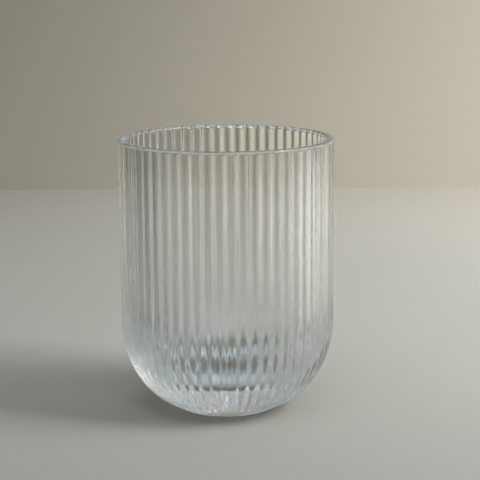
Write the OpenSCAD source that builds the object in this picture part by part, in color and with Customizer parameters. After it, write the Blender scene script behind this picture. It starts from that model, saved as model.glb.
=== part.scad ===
// Ribbed tea glass: one piece of clear glass with a straight wall and a rounded bottom.
// The ribs start just under the lip, run down the wall and follow the bottom to the foot.
// The origin is the centre of the foot that it stands on, +Z is up, and sizes are in millimetres.

/* [Glass] */
// Height from the table to the top of the lip
height = 89; // [80:1:110]
// Diameter over the crests of the ribs
diameter = 70; // [60:1:84]
// Thickness of the wall, from the crest of a rib to the smooth inside
wall_t = 2.8; // [2.2:0.1:3.6]

/* [Ribs] */
// Number of ribs round the glass
rib_count = 60; // [40:1:66]
// Depth of the valleys between the ribs, on the straight wall
rib_depth = 0.9; // [0.5:0.1:1.1]

/* [Lip] */
// Height of the rounding on top of the lip
lip_h = 0.6; // [0.4:0.1:1.4]
// Height over which the valleys run out below the lip
run_out_h = 0.5; // [0.3:0.1:2.4]

/* [Bottom] */
// Height of the outer curve, from the table up to the straight wall
curve_h = 29; // [22:1:36]
// Angle round the outer curve at which the foot cuts it off
foot_angle = 14; // [8:1:20]
// Diameter of the smooth foot that the glass stands on
foot_d = 34; // [28:1:40]
// Height of that foot, up to where the ribs begin
foot_h = 0.5; // [0.3:0.1:0.8]
// Width of the foot outside its hollow
foot_w = 2; // [1.5:0.5:4]
// Depth of the hollow in the foot
hollow_h = 2.2; // [1:0.2:3]

/* [Inside] */
// Height of the floor inside above the table
floor_h = 12; // [9:0.5:14]
// Diameter of the flat part of that floor
floor_d = 32; // [20:1:44]
// Height of the inner curve, from the floor up to the straight inside
inner_curve_h = 24; // [18:1:30]

/* [Hidden] */

outer_r = diameter / 2;
inner_r = outer_r - wall_t;
foot_r = foot_d / 2;
floor_r = floor_d / 2;
hollow_r = foot_r - foot_w;

// The lip is round over the full thickness of the wall
lip_r = wall_t / 2;
lip_z = height - lip_h;

// Width and height of the quarter ellipse that the outer curve is cut from
curve_w = (outer_r - foot_r) / (1 - sin(foot_angle));
ellipse_h = (curve_h - foot_h) / cos(foot_angle);

// Radius of the sphere that hollows the underside
hollow_sphere_r = (hollow_r * hollow_r + hollow_h * hollow_h) / hollow_h / 2;

// The valleys get shallower towards the foot, by this power of the radius
depth_power = 1.6;

// Points over one rib, and steps along each curve
rib_points = 6;
foot_steps = 2;
curve_steps = 8;
run_out_steps = 3;
lip_steps = 3;
inner_steps = 12;

// The inner rounding of the lip stops just short of its top
inner_lip_angle = 75;

// How far the inside is cut past the lip
overrun = 1;

// Radius and height of the outer curve, at an angle from foot_angle to 90 at the wall
function curve_radius(a) = outer_r - curve_w * (1 - sin(a));
function curve_height(a) = curve_h - ellipse_h * cos(a);

// Depth of the valleys where the crests have radius r
function valley_depth(r) = rib_depth * pow(r / outer_r, depth_power);

// Rows of the ribbed surface from the foot up: radius of the crests, height, depth of the valleys
foot_rows = [
    for (i = [0 : foot_steps])
        let (a = 90 * i / foot_steps)
            [foot_r - foot_h * (1 - sin(a)), foot_h * (1 - cos(a)), 0]
];
curve_rows = [
    for (i = [1 : curve_steps])
        let (a = foot_angle + (90 - foot_angle) * i / curve_steps)
            [curve_radius(a), curve_height(a), valley_depth(curve_radius(a))]
];
run_out_rows = [
    for (i = [0 : run_out_steps])
        let (a = 90 * (1 - i / run_out_steps))
            [outer_r, lip_z - run_out_h * sin(a), rib_depth * (1 - cos(a))]
];
lip_rows = [
    for (i = [1 : lip_steps])
        let (a = 90 * i / lip_steps)
            [outer_r - lip_r * (1 - cos(a)), lip_z + lip_h * sin(a), 0]
];

// One row as a ring of points, a wave with a crest at the front and rib_count crests in all
function ring(row) = [
    for (k = [0 : rib_count * rib_points - 1])
        let (
            turn = 360 * k / (rib_count * rib_points),
            valley_share = (1 - cos(rib_count * turn)) / 2,
            r = row[0] - row[2] * valley_share
        )
            [r * sin(turn), -r * cos(turn), row[1]]
];

// Closed solid through rings of equal size, with a flat face at each end
module loft(rows) {
    n = rib_count * rib_points;
    last = len(rows) - 1;
    points = [for (row = rows) each ring(row)];
    lower_end = [for (k = [0 : n - 1]) k];
    upper_end = [for (k = [0 : n - 1]) last * n + n - 1 - k];
    sides = [
        for (j = [0 : last - 1], k = [0 : n - 1])
            let (
                a = j * n + k,
                b = j * n + (k + 1) % n,
                c = b + n,
                d = a + n
            )
                each [[a, d, c], [a, c, b]]
    ];
    polyhedron(points = points, faces = concat([lower_end, upper_end], sides));
}

// The outside: foot, rounded bottom, ribbed wall and the outer half of the lip
module ribbed_body() {
    loft(concat(foot_rows, curve_rows, run_out_rows, lip_rows));
}

// The inside, smooth all over, with the inner half of the lip
module inside() {
    floor_curve = [
        for (i = [0 : inner_steps])
            let (a = 90 * i / inner_steps)
                [floor_r + (inner_r - floor_r) * sin(a), floor_h + inner_curve_h * (1 - cos(a))]
    ];
    lip_curve = [
        for (i = [0 : lip_steps])
            let (a = inner_lip_angle * i / lip_steps)
                [inner_r + lip_r * (1 - cos(a)), lip_z + lip_h * sin(a)]
    ];
    mouth_r = lip_curve[lip_steps][0];
    above = [[mouth_r, height + overrun], [0, height + overrun]];
    rotate_extrude($fn = 180)
        polygon(concat([[0, floor_h]], floor_curve, lip_curve, above));
}

// Hollow of the underside, which leaves a ring for the glass to stand on
module hollow() {
    translate([0, 0, hollow_h - hollow_sphere_r])
        sphere(r = hollow_sphere_r, $fn = 180);
}

module glass() {
    color([0.86, 0.92, 0.93, 0.35])
        difference() {
            ribbed_body();
            inside();
            hollow();
        }
}

glass();
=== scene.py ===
# Ribbed tea glass on a plain pale stage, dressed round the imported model.
# Lengths are in metres unless a note says mm.
import math

import bpy
import numpy as np
from mathutils import Matrix, Quaternion, Vector


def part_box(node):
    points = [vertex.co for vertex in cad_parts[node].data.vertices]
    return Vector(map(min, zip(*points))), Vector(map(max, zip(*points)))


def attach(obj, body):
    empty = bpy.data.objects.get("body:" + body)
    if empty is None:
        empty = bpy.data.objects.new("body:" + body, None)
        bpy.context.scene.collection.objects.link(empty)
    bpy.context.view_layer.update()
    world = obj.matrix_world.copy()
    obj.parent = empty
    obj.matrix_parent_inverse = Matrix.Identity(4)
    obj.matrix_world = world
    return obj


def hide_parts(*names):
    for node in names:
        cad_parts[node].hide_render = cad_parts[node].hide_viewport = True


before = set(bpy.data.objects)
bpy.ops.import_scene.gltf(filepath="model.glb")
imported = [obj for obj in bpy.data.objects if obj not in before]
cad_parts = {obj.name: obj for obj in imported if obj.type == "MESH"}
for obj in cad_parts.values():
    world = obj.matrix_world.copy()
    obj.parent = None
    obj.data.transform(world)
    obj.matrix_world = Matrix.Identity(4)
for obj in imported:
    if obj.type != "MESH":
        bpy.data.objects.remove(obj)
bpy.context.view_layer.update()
mm = 0.001
print("frame loaded:", sorted(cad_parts))


# One socket of a node in an expression, so that shader maths reads as plain sums.
class Value:
    def __init__(self, shader, socket):
        self.shader, self.socket = shader, socket

    def join(self, operation, first, second):
        return self.shader.add("Math", {"operation": operation}, {0: first, 1: second})

    def __add__(self, other):
        return self.join("ADD", self, other)

    def __sub__(self, other):
        return self.join("SUBTRACT", self, other)

    def __rsub__(self, other):
        return self.join("SUBTRACT", other, self)

    def __mul__(self, other):
        return self.join("MULTIPLY", self, other)

    __radd__ = __add__
    __rmul__ = __mul__


# A material and its nodes. add() makes any node: first its settings, then the values or links of its inputs.
class Shader:
    def __init__(self, name):
        self.material = bpy.data.materials.new(name)
        self.material.use_nodes = True
        self.nodes = self.material.node_tree.nodes
        self.links = self.material.node_tree.links
        self.nodes.clear()

    def add(self, kind, settings, inputs, output=0):
        node = self.nodes.new("ShaderNode" + kind)
        for key, value in settings.items():
            setattr(node, key, value)
        for key, value in inputs.items():
            if isinstance(value, Value):
                self.links.new(value.socket, node.inputs[key])
            else:
                node.inputs[key].default_value = value
        return Value(self, node.outputs[output]) if node.outputs else node

    def show(self, surface):
        self.add("OutputMaterial", {}, {"Surface": surface})
        return self.material


def linear(red, green, blue):  # a screen colour, 0 to 255, made linear by the sRGB curve
    shares = [channel / 255 for channel in (red, green, blue)]
    return [s / 12.92 if s <= 0.04045 else ((s + 0.055) / 1.055) ** 2.4 for s in shares]


def opaque(colour):
    return [*colour, 1.0]


# The camera, turned about the glass so that a rib's crest lies where the photograph has it
cameraSetup = {
    "turn": -0.84,  # degrees about the glass, from the -Y side towards +X
    "distance": 498.6,  # mm from the axis, level
    "height": 154.14,  # mm above the table
    "pitch": 11.24,  # degrees down
    "roll": 0.314,  # degrees
    "axisX": 226.54,  # pixel column of the axis at the height of the middle row
    "picture": 480,  # pixels across
    "focal": 1549.0,  # pixels
    "sensor": 36.0,  # mm
}


def viewTurn():  # the turn that camera, lamps and backdrop share
    return Matrix.Rotation(math.radians(cameraSetup["turn"]), 4, "Z")


def aimed(item, place, direction):  # a camera or lamp, which looks along its own -Z
    item.rotation_mode = "QUATERNION"
    item.location = viewTurn() @ Vector(place)
    item.rotation_quaternion = (viewTurn().to_3x3() @ Vector(direction)).to_track_quat("-Z", "Y")


def makeCamera():
    s = cameraSetup
    data = bpy.data.cameras.new("camera")
    data.sensor_width = s["sensor"]
    data.lens = s["focal"] * s["sensor"] / s["picture"]
    camera = bpy.data.objects.new("camera", data)
    bpy.context.scene.collection.objects.link(camera)
    pitch = math.radians(s["pitch"])
    yaw = math.atan2(s["picture"] / 2 - s["axisX"], s["focal"])
    forward = (math.sin(yaw) * math.cos(pitch), math.cos(yaw) * math.cos(pitch), -math.sin(pitch))
    aimed(camera, (0, -s["distance"] * mm, s["height"] * mm), forward)
    camera.rotation_quaternion @= Quaternion((0, 0, 1), -math.radians(s["roll"]))
    bpy.context.scene.camera = camera
    print("camera made")


# The table and the backdrop behind it, both plain. The backdrop is clear from behind, for views from there.
stageSetup = {
    "reach": 12.0,  # from the axis to the edges of both, past what the views from the sides see
    "gap": 0.05 * mm,  # how far the floor lies below the foot, so that the two never coincide
    "backdrop": 0.44,  # how far behind the axis of the glass it stands
    "tall": 0.25,  # about twice what the picture shows of it, and the glass sees the dim world over it
    "floorColour": linear(207, 194, 180),
    "backdropColour": linear(207, 195, 177),
    "roughness": 0.95,
    "specular": 0.05,
}


def stagePiece(name, corners, colour, oneSided):
    mesh = bpy.data.meshes.new(name)
    mesh.from_pydata(corners, [], [range(len(corners))])
    piece = bpy.data.objects.new(name, mesh)
    bpy.context.scene.collection.objects.link(piece)
    piece.matrix_world = viewTurn()
    shader = Shader(name)
    surface = shader.add("BsdfPrincipled", {}, {
        "Base Color": opaque(colour),
        "Roughness": stageSetup["roughness"],
        "Specular IOR Level": stageSetup["specular"],
    })
    if oneSided:
        clear = shader.add("BsdfTransparent", {}, {})
        behind = shader.add("NewGeometry", {}, {}, "Backfacing")
        surface = shader.add("MixShader", {}, {0: behind, 1: surface, 2: clear})
    mesh.materials.append(shader.show(surface))


def makeStage():
    s = stageSetup
    reach, low, back, tall = s["reach"], -s["gap"], s["backdrop"], s["tall"]
    floor = [(-reach, -reach, low), (reach, -reach, low), (reach, reach, low), (-reach, reach, low)]
    wall = [(-reach, back, low), (reach, back, low), (reach, back, tall), (-reach, back, tall)]
    stagePiece("floor", floor, s["floorColour"], False)
    stagePiece("backdrop", wall, s["backdropColour"], True)
    print("stage made")


# A window-like lamp on the right, one that washes the backdrop, a cool soft box overhead, and a weak one
# high in front that draws the ribs of the bottom. A narrow spread, in degrees, makes a lamp fade towards
# the edge of its pool.
lightSetup = {
    "lamps": {
        "window": {
            "place": (0.66, -0.06, 0.44), "target": (0.3, 0.12, 0), "size": (0.55, 0.55), "spread": 70,
            "watts": 1.6, "colour": (0.8, 0.93, 1.0),
        },
        "wash": {
            "place": (0.36, 0, 0.3), "target": (0.25, 0.44, 0.08), "size": (0.2, 0.2), "spread": 70,
            "watts": 0.2, "colour": (0.97, 0.97, 1.0),
        },
        "softBox": {
            "place": (0, 0, 2.6), "target": (0, 0, 0), "size": (3.0, 3.0), "spread": 180,
            "watts": 13.0, "colour": (0.7, 0.88, 1.0),
        },
        "front": {
            "place": (-0.1, -0.55, 1.25), "target": (0, 0, 0.03), "size": (0.8, 0.5), "spread": 60,
            "watts": 0.28, "colour": (0.68, 0.86, 1.0),
        },
    },
    "worldColour": linear(191, 198, 203),
    "worldStrength": 0.25,
}


def makeLights():
    for name, s in lightSetup["lamps"].items():
        data = bpy.data.lights.new(name, "AREA")
        data.shape = "RECTANGLE"
        data.size, data.size_y = s["size"]
        data.spread = math.radians(s["spread"])
        data.energy, data.color = s["watts"], s["colour"]
        lamp = bpy.data.objects.new(name, data)
        bpy.context.scene.collection.objects.link(lamp)
        lamp.visible_camera = False
        aimed(lamp, s["place"], Vector(s["target"]) - Vector(s["place"]))
    world = bpy.data.worlds.new("world")
    world.use_nodes = True
    background = world.node_tree.nodes["Background"]
    background.inputs["Color"].default_value = opaque(lightSetup["worldColour"])
    background.inputs["Strength"].default_value = lightSetup["worldStrength"]
    bpy.context.scene.world = world
    print("lights made:", len(lightSetup["lamps"]))


# The glass, in mm and degrees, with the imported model's values. Its height and radius come from the frame.
glassSizes = {
    "wall": 2.8,  # from the crest of a rib to the smooth inside
    "ribs": 60,
    "ribDepth": 0.9,  # of the valleys on the straight wall
    "depthPower": 1.6,  # how fast they get shallower with the radius, towards the foot
    "lipHeight": 0.6,
    "runOutHeight": 0.5,  # over which the valleys run out below the lip
    "curveHeight": 29.0,
    "footAngle": 14.0,
    "footRadius": 17.0,
    "footHeight": 0.5,  # of the smooth pad below the ribs
    "footWidth": 2.0,
    "hollowDepth": 2.2,
    "floorHeight": 12.0,
    "floorRadius": 16.0,
    "innerCurveHeight": 24.0,
}

# How finely the mesh follows these. Guards are rows beside an edge or bend, at these distances in mm, so
# that smooth shading bends nothing that is straight. Spans lie between the guards of a straight part.
glassDetail = {
    "perRib": 14,  # points
    "guards": (0.08, 0.3),
    "hollowRows": 10,
    "ringSpans": 1,
    "footEdgeRows": 4,
    "curveRows": 32,
    "fadeRows": 4,  # over which the ribs rise out of the foot
    "wallSpans": 2,
    "runOutRows": 6,
    "lipRows": 14,
    "innerRows": 24,
}


def steps(start, end, count):  # count values after start, the last one at end
    return [start + (end - start) * k / count for k in range(1, count + 1)]


def guarded(start, end, spans):  # values after start, close to both ends and at equal spans between, to end
    way = 1 if end > start else -1
    near = [way * gap for gap in glassDetail["guards"]]
    after, before = [start + gap for gap in near], [end - gap for gap in reversed(near)]
    return after + steps(after[-1], before[0], spans)[:-1] + before + [end]


# Each row is a ring of the mesh: radius of its crests, height, depth of its valleys. The rows run from the
# middle of the underside up the outside, over the lip and down the inside to its floor.
def footRows(s):  # the hollow, the ring that the glass stands on and its rounded edge
    reach, deep, edge = s["footRadius"] - s["footWidth"], s["hollowDepth"], s["footHeight"]
    sphere = (reach * reach + deep * deep) / deep / 2
    closest, close = glassDetail["guards"]
    hollow = steps(0, reach - close, glassDetail["hollowRows"]) + [reach - closest, reach]
    rows = [(r, deep - sphere + math.sqrt(sphere * sphere - r * r), 0) for r in hollow]
    rows += [(r, 0, 0) for r in guarded(reach, s["footRadius"] - edge, glassDetail["ringSpans"])]
    for a in steps(0, math.pi / 2, glassDetail["footEdgeRows"]):
        rows.append((s["footRadius"] - edge * (1 - math.sin(a)), edge * (1 - math.cos(a)), 0))
    return rows


def curveRows(s, radius):  # the rounded bottom
    start = math.radians(s["footAngle"])
    width = (radius - s["footRadius"]) / (1 - math.sin(start))
    tall = (s["curveHeight"] - s["footHeight"]) / math.cos(start)
    rows = []
    for k, a in enumerate(steps(start, math.pi / 2, glassDetail["curveRows"])):
        r = radius - width * (1 - math.sin(a))
        left = 1 - min(1, (k + 1) / glassDetail["fadeRows"])
        fade = math.sqrt(1 - left * left)
        depth = s["ribDepth"] * (r / radius) ** s["depthPower"] * fade
        rows.append((r, s["curveHeight"] - tall * math.cos(a), depth))
    return rows


def wallAndLipRows(s, radius, height):  # the straight wall, the rounded ends of its valleys and the lip
    lip, half = height - s["lipHeight"], s["wall"] / 2
    low = lip - s["runOutHeight"]
    rows = [(radius, z, s["ribDepth"]) for z in guarded(s["curveHeight"], low, glassDetail["wallSpans"])]
    for a in steps(math.pi / 2, 0, glassDetail["runOutRows"]):
        rows.append((radius, lip - s["runOutHeight"] * math.sin(a), s["ribDepth"] * (1 - math.cos(a))))
    for a in steps(0, math.pi, glassDetail["lipRows"]):
        rows.append((radius - half * (1 - math.cos(a)), lip + s["lipHeight"] * math.sin(a), 0))
    return rows


def insideRows(s, radius, height):  # the smooth inside, its curve and its floor
    inner, floor = radius - s["wall"], s["floorRadius"]
    low = s["floorHeight"] + s["innerCurveHeight"]
    rows = [(inner, z, 0) for z in guarded(height - s["lipHeight"], low, glassDetail["wallSpans"])]
    for a in steps(math.pi / 2, 0, glassDetail["innerRows"]):
        r = floor + (inner - floor) * math.sin(a)
        rows.append((r, s["floorHeight"] + s["innerCurveHeight"] * (1 - math.cos(a)), 0))
    flat = [floor - gap for gap in glassDetail["guards"]] + [floor / 2]
    return rows + [(r, s["floorHeight"], 0) for r in flat]


def ribbedRings(rows, ribs):  # each row as a wave round the axis, with a crest at -Y
    count = ribs * glassDetail["perRib"]
    turn = np.arange(count) / count * 2 * math.pi
    valley = (1 - np.cos(turn * ribs)) / 2
    rings = []
    for crest, z, depth in rows:
        r = crest - depth * valley
        rings.append(np.stack([r * np.sin(turn), -r * np.cos(turn), np.full(count, z)], -1))
    return np.concatenate(rings), count


def glassMesh():
    s = glassSizes
    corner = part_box("glass")[1]
    radius, height = corner.x / mm, corner.z / mm
    rows = footRows(s) + curveRows(s, radius)
    rows += wallAndLipRows(s, radius, height) + insideRows(s, radius, height)
    points, count = ribbedRings(rows, s["ribs"])
    centres = [(0, 0, s["hollowDepth"]), (0, 0, s["floorHeight"])]
    under, inside = len(points), len(points) + 1
    last = under - count
    pairs = [(k, (k + 1) % count) for k in range(count)]
    faces = [(under, b, a) for a, b in pairs]
    for start in range(0, last, count):
        above = start + count
        faces += [(start + a, start + b, above + b, above + a) for a, b in pairs]
    faces += [(inside, last + a, last + b) for a, b in pairs]
    mesh = bpy.data.meshes.new("tea_glass")
    mesh.from_pydata((np.vstack([points, centres]) * mm).tolist(), [], faces)
    mesh.shade_smooth()
    return mesh


# Clear pressed glass: a breath of cool colour with faint streaks, a soft fire polish, a duller inside where
# the plunger pressed the bowl, and a scuffed foot ring
glassFinish = {
    "colour": (0.994, 1.0, 0.998),
    "streakColour": (0.982, 0.992, 0.988),
    "streakScale": 60.0,
    "streakDetail": 3.0,
    "ior": 1.5,
    "bounces": 24,  # light turns many times in the ribs
    "roughness": 0.06,
    "insideRoughness": 0.14,  # added on the inside of the bowl
    "insideFloor": 11.5 * mm,  # below the inner floor, so that the foot is left out
    "insideFade": (60 * mm, 24 * mm),  # heights between which the dull inside sets in
    "insideReach": (19 * mm, 18 * mm),  # radii at height zero of its edge, a cone between inside and ribs
    "insideSlope": 0.5,  # of that cone, radius over height
    "scuffTop": 0.4 * mm,
    "scuffScale": 900.0,
    "scuffDetail": 2.0,
    "scuffRoughness": 0.25,  # added on the foot ring
}


def clearGlass():
    f = glassFinish
    shader = Shader("clear_glass")
    place = shader.add("TexCoord", {}, {}, "Object")
    streaks = shader.add("TexNoise", {}, {
        "Vector": place, "Scale": f["streakScale"], "Detail": f["streakDetail"],
    })
    colour = shader.add("Mix", {"data_type": "RGBA"}, {
        0: streaks, 6: opaque(f["streakColour"]), 7: opaque(f["colour"]),
    }, 2)  # 6, 7 and 2 are the node's sockets for colours
    x, y, up = [shader.add("SeparateXYZ", {}, {"Vector": place}, axis) for axis in "XYZ"]
    radius = shader.add("Math", {"operation": "SQRT"}, {0: x * x + y * y})
    cone = radius - up * f["insideSlope"]
    within = shader.add("MapRange", {}, {
        "Value": cone, "From Min": f["insideReach"][0], "From Max": f["insideReach"][1],
    })
    low = shader.add("MapRange", {}, {
        "Value": up, "From Min": f["insideFade"][0], "From Max": f["insideFade"][1],
    })
    above = shader.add("Math", {"operation": "GREATER_THAN"}, {0: up, 1: f["insideFloor"]})
    scuff = shader.add("MapRange", {}, {"Value": up, "From Min": f["scuffTop"], "From Max": 0.0})
    specks = shader.add("TexNoise", {}, {
        "Vector": place, "Scale": f["scuffScale"], "Detail": f["scuffDetail"],
    })
    dull = within * low * above * f["insideRoughness"]
    surface = shader.add("BsdfPrincipled", {}, {
        "Base Color": colour,
        "Roughness": f["roughness"] + scuff * specks * f["scuffRoughness"] + dull,
        "IOR": f["ior"],
        "Transmission Weight": 1.0,
    })
    return shader.show(surface)


def makeGlass():
    mesh = glassMesh()
    mesh.materials.append(clearGlass())
    glass = bpy.data.objects.new("tea_glass", mesh)
    bpy.context.scene.collection.objects.link(glass)
    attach(glass, "root")
    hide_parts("glass")
    print("glass made:", len(mesh.polygons), "faces")


makeCamera()
makeStage()
makeLights()
makeGlass()
bpy.context.scene.view_settings.view_transform = "Standard"
for kind in ("max_bounces", "transmission_bounces", "glossy_bounces"):
    setattr(bpy.context.scene.cycles, kind, glassFinish["bounces"])
